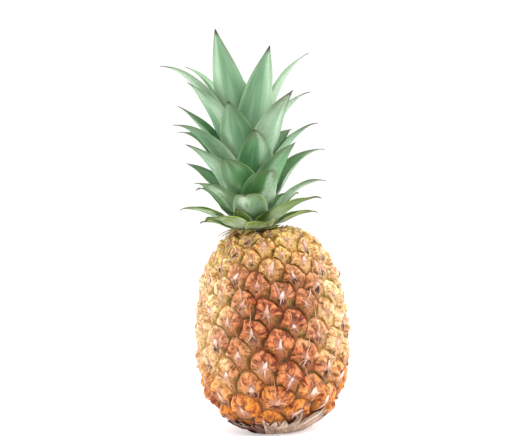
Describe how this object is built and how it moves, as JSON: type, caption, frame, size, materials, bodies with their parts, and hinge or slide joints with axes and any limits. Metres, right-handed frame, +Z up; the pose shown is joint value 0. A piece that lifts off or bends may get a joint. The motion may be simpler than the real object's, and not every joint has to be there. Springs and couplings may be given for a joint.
{
  "type": "pineapple",
  "caption": "Whole ripe pineapple standing on its base: barrel-shaped fruit covered with spiralling raised eyes, with its tuft of pointed, arching crown leaves.",
  "frame": {"origin": "centre of the base, on the surface that the fruit stands on", "axes": "+Z up along the fruit, from the stalk's cut end to the crown; -Y is the side towards the viewer"},
  "size_m": [0.1458, 0.1367, 0.3378],
  "materials": {
    "skin": "tough ripe rind, orange-brown on the eyes, olive in the grooves, pale bract tips",
    "stalk": "dry fibrous cut end",
    "dry_bract": "dry, papery, grey-pink",
    "crown_stem": "pale green",
    "leaf": "blue-green with a waxy bloom, satin, yellowish edges and brown tips"
  },
  "bodies": {
    "root": {"fruit": "skin", "stalk": "stalk", "base_bract_1": "dry_bract", "base_bract_2": "dry_bract", "base_bract_3": "dry_bract", "base_bract_4": "dry_bract", "base_bract_5": "dry_bract", "base_bract_6": "dry_bract", "base_bract_7": "dry_bract", "base_bract_8": "dry_bract", "crown_stem": "crown_stem", "crown_leaf_01": "leaf", "crown_leaf_02": "leaf", "crown_leaf_03": "leaf", "crown_leaf_04": "leaf", "crown_leaf_05": "leaf", "crown_leaf_06": "leaf", "crown_leaf_07": "leaf", "crown_leaf_08": "leaf", "crown_leaf_09": "leaf", "crown_leaf_10": "leaf", "crown_leaf_11": "leaf", "crown_leaf_12": "leaf", "crown_leaf_13": "leaf", "crown_leaf_14": "leaf", "crown_leaf_15": "leaf", "crown_leaf_16": "leaf", "crown_leaf_17": "leaf", "crown_leaf_18": "leaf", "crown_leaf_19": "leaf", "crown_leaf_20": "leaf", "crown_leaf_21": "leaf", "crown_leaf_22": "leaf", "crown_leaf_23": "leaf", "crown_leaf_24": "leaf", "crown_leaf_25": "leaf", "crown_leaf_26": "leaf", "crown_leaf_27": "leaf", "crown_leaf_28": "leaf", "crown_leaf_29": "leaf", "crown_leaf_30": "leaf", "crown_leaf_31": "leaf", "crown_leaf_32": "leaf", "crown_leaf_33": "leaf", "crown_leaf_34": "leaf", "crown_leaf_35": "leaf", "crown_leaf_36": "leaf", "crown_leaf_37": "leaf", "crown_leaf_38": "leaf", "crown_leaf_39": "leaf", "crown_leaf_40": "leaf", "crown_leaf_41": "leaf", "crown_leaf_42": "leaf", "crown_leaf_43": "leaf", "crown_leaf_44": "leaf", "crown_leaf_45": "leaf", "crown_leaf_46": "leaf"}
  },
  "joints": []
}
